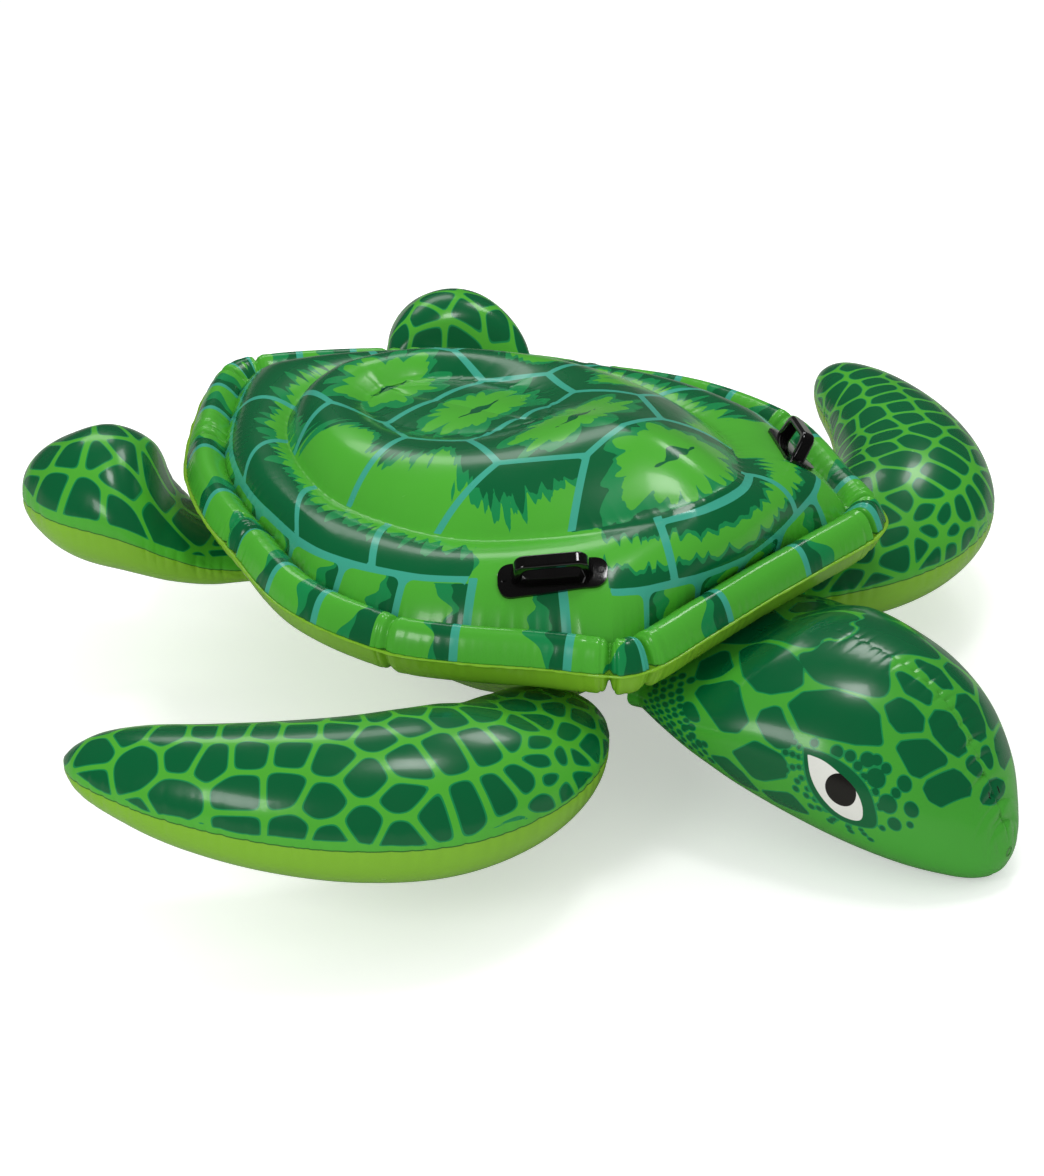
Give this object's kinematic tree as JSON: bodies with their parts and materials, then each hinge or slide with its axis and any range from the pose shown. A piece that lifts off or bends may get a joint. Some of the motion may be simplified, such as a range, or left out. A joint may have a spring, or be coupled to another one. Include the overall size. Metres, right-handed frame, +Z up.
{
  "type": "inflatable pool float",
  "caption": "Ride-on sea turtle float: domed inflated shell with an edge tube and seat recess, moulded grab handles, four flippers and a drooping head, welded from printed film.",
  "frame": {"origin": "where the middle of the belly rests on the floor, in the mirror plane", "axes": "+Z up, -Y towards the nose, +X towards the animal's left side"},
  "size_m": [1.439, 1.252, 0.384],
  "materials": {
    "printed_film": "glossy printed vinyl film",
    "lime_film": "glossy plain vinyl film",
    "web_film": "plain vinyl film, inside",
    "handle_plastic": "glossy moulded black vinyl",
    "clear_plastic": "soft moulded translucent vinyl"
  },
  "bodies": {
    "shell": {"front_left_weld_ring": "lime_film", "front_right_weld_ring": "lime_film", "left_handle": "handle_plastic", "left_handle_patch": "web_film", "main_valve_flange": "clear_plastic", "neck_weld_ring": "lime_film", "rear_left_weld_ring": "lime_film", "rear_right_weld_ring": "lime_film", "right_handle": "handle_plastic", "right_handle_patch": "web_film", "rim_bottom_strip": "lime_film", "rim_top_strip": "printed_film", "safety_valve_flange": "clear_plastic", "shell_bottom_sheet": "lime_film", "shell_top_sheet": "printed_film", "web_inner_ring": "web_film", "web_outer_ring": "web_film"},
    "head": {"head_left_panel": "printed_film", "head_right_panel": "printed_film"},
    "main_valve_stem": {"main_valve_stem": "clear_plastic"},
    "main_valve_plug": {"main_valve_plug": "clear_plastic"},
    "safety_valve_stem": {"safety_valve_stem": "clear_plastic"},
    "safety_valve_plug": {"safety_valve_plug": "clear_plastic"},
    "front_left_flipper": {"front_left_flipper_top": "printed_film", "front_left_flipper_bottom": "lime_film"},
    "front_right_flipper": {"front_right_flipper_top": "printed_film", "front_right_flipper_bottom": "lime_film"},
    "rear_left_flipper": {"rear_left_flipper_top": "printed_film", "rear_left_flipper_bottom": "lime_film"},
    "rear_right_flipper": {"rear_right_flipper_top": "printed_film", "rear_right_flipper_bottom": "lime_film"}
  },
  "joints": [
    {"name": "head_nod", "type": "hinge", "parent": "shell", "child": "head", "pos_m": [0, -0.31515, 0.14898], "axis": [-1, 0, 0], "range_deg": [0, 6], "stiffness_Nm_per_rad": 60},
    {"name": "front_left_flex", "type": "hinge", "parent": "shell", "child": "front_left_flipper", "pos_m": [0.19578, -0.19578, 0.10696], "axis": [-0.6745, -0.7383, 0], "range_deg": [-6, 3], "stiffness_Nm_per_rad": 40},
    {"name": "front_right_flex", "type": "hinge", "parent": "shell", "child": "front_right_flipper", "pos_m": [-0.19578, -0.19578, 0.10696], "axis": [-0.6745, 0.7383, 0], "range_deg": [-6, 3], "stiffness_Nm_per_rad": 40},
    {"name": "rear_left_flex", "type": "hinge", "parent": "shell", "child": "rear_left_flipper", "pos_m": [0.20246, 0.27695, 0.15471], "axis": [0.7064, -0.7079, 0], "range_deg": [-6, 3], "stiffness_Nm_per_rad": 20},
    {"name": "rear_right_flex", "type": "hinge", "parent": "shell", "child": "rear_right_flipper", "pos_m": [-0.20246, 0.27695, 0.15471], "axis": [0.7064, 0.7079, 0], "range_deg": [-6, 3], "stiffness_Nm_per_rad": 20},
    {"name": "main_stem_slide", "type": "slide", "parent": "shell", "child": "main_valve_stem", "axis": [0, 0.6204, -0.7843], "range_m": [0, 0.01], "stiffness_N_per_m": 40},
    {"name": "main_plug_hinge", "type": "hinge", "parent": "main_valve_stem", "child": "main_valve_plug", "pos_m": [0.013, 0.39855, 0.1664], "axis": [0, -0.7843, -0.6204], "range_deg": [0, 140], "stiffness_Nm_per_rad": 0.05},
    {"name": "safety_stem_slide", "type": "slide", "parent": "shell", "child": "safety_valve_stem", "axis": [0, 0.597, -0.8022], "range_m": [0, 0.01], "stiffness_N_per_m": 40},
    {"name": "safety_plug_hinge", "type": "hinge", "parent": "safety_valve_stem", "child": "safety_valve_plug", "pos_m": [0.013, 0.30367, 0.09175], "axis": [0, -0.8022, -0.597], "range_deg": [0, 140], "stiffness_Nm_per_rad": 0.05}
  ]
}
